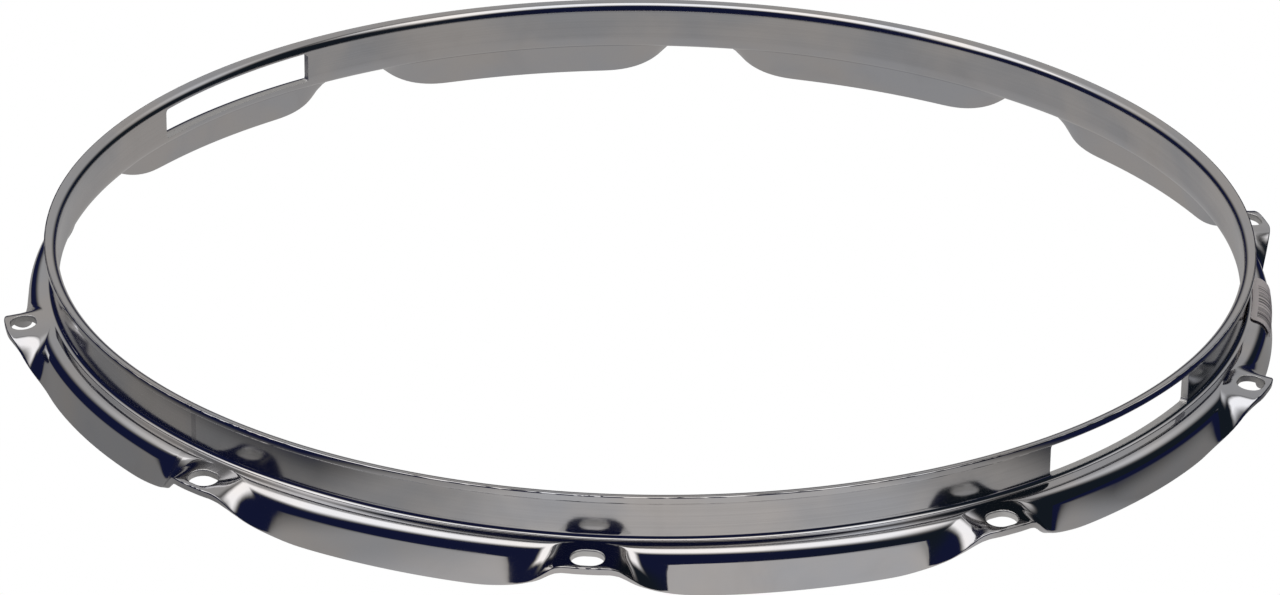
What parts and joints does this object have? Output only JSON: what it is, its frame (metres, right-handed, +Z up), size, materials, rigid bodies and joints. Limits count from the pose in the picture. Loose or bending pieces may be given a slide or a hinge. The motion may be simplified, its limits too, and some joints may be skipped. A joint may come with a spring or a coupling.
{
  "type": "drum hoop",
  "caption": "Round pressed-steel drum hoop with a turned-out lip, upright wall, scalloped skirt, slotted ears and two snare gates in the wall.",
  "frame": {"origin": "centre of the bounding box's bottom: on the hoop's axis, in the plane that the skirts' edges stand on", "axes": "+Z up along the axis, from the skirts to the lip; +Y through an ear, +X through the middle of a gate"},
  "size_m": [0.3816, 0.3956, 0.0277],
  "materials": {
    "plated_steel": "bright chrome plating over drawn steel",
    "plated_weld": "dressed butt weld under the same plating",
    "paper": "matt coated paper"
  },
  "bodies": {
    "root": {"hoop": "plated_steel", "seam_weld": "plated_weld", "price_label": "paper"}
  },
  "joints": []
}
